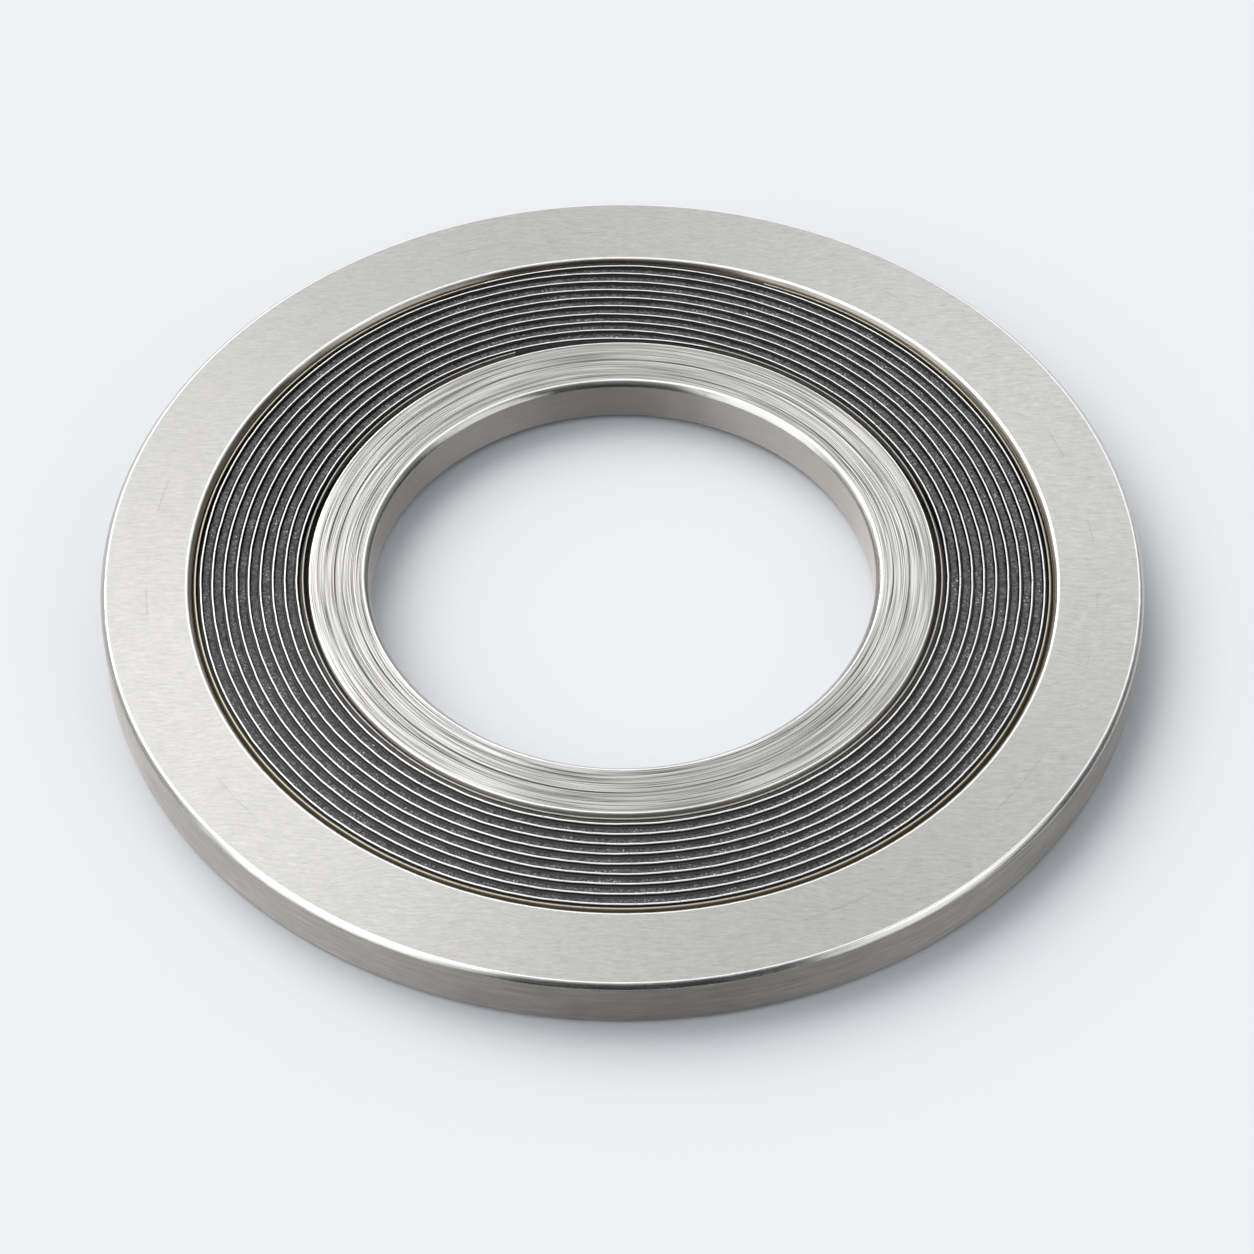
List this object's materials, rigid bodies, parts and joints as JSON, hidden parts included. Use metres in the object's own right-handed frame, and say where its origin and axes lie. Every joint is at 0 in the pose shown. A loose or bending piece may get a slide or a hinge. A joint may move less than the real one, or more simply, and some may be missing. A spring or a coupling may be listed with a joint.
{
  "type": "spiral wound gasket",
  "caption": "Round pipe flange gasket: a steel strip and a graphite filler wound in a spiral between a flat outer centring ring and a flat inner ring.",
  "frame": {"origin": "centre of the bore, on the gasket's mid-plane", "axes": "+Z along the bore axis; the two faces are alike, so either may be the upper one"},
  "size_m": [0.0859, 0.0858, 0.0048],
  "materials": {
    "outer_ring_steel": "satin",
    "inner_ring_steel": "turned",
    "strip_steel": "satin",
    "graphite": "matte"
  },
  "bodies": {
    "root": {"outer_ring": "outer_ring_steel", "inner_ring": "inner_ring_steel", "winding_strip": "strip_steel", "graphite_filler": "graphite"}
  },
  "joints": []
}
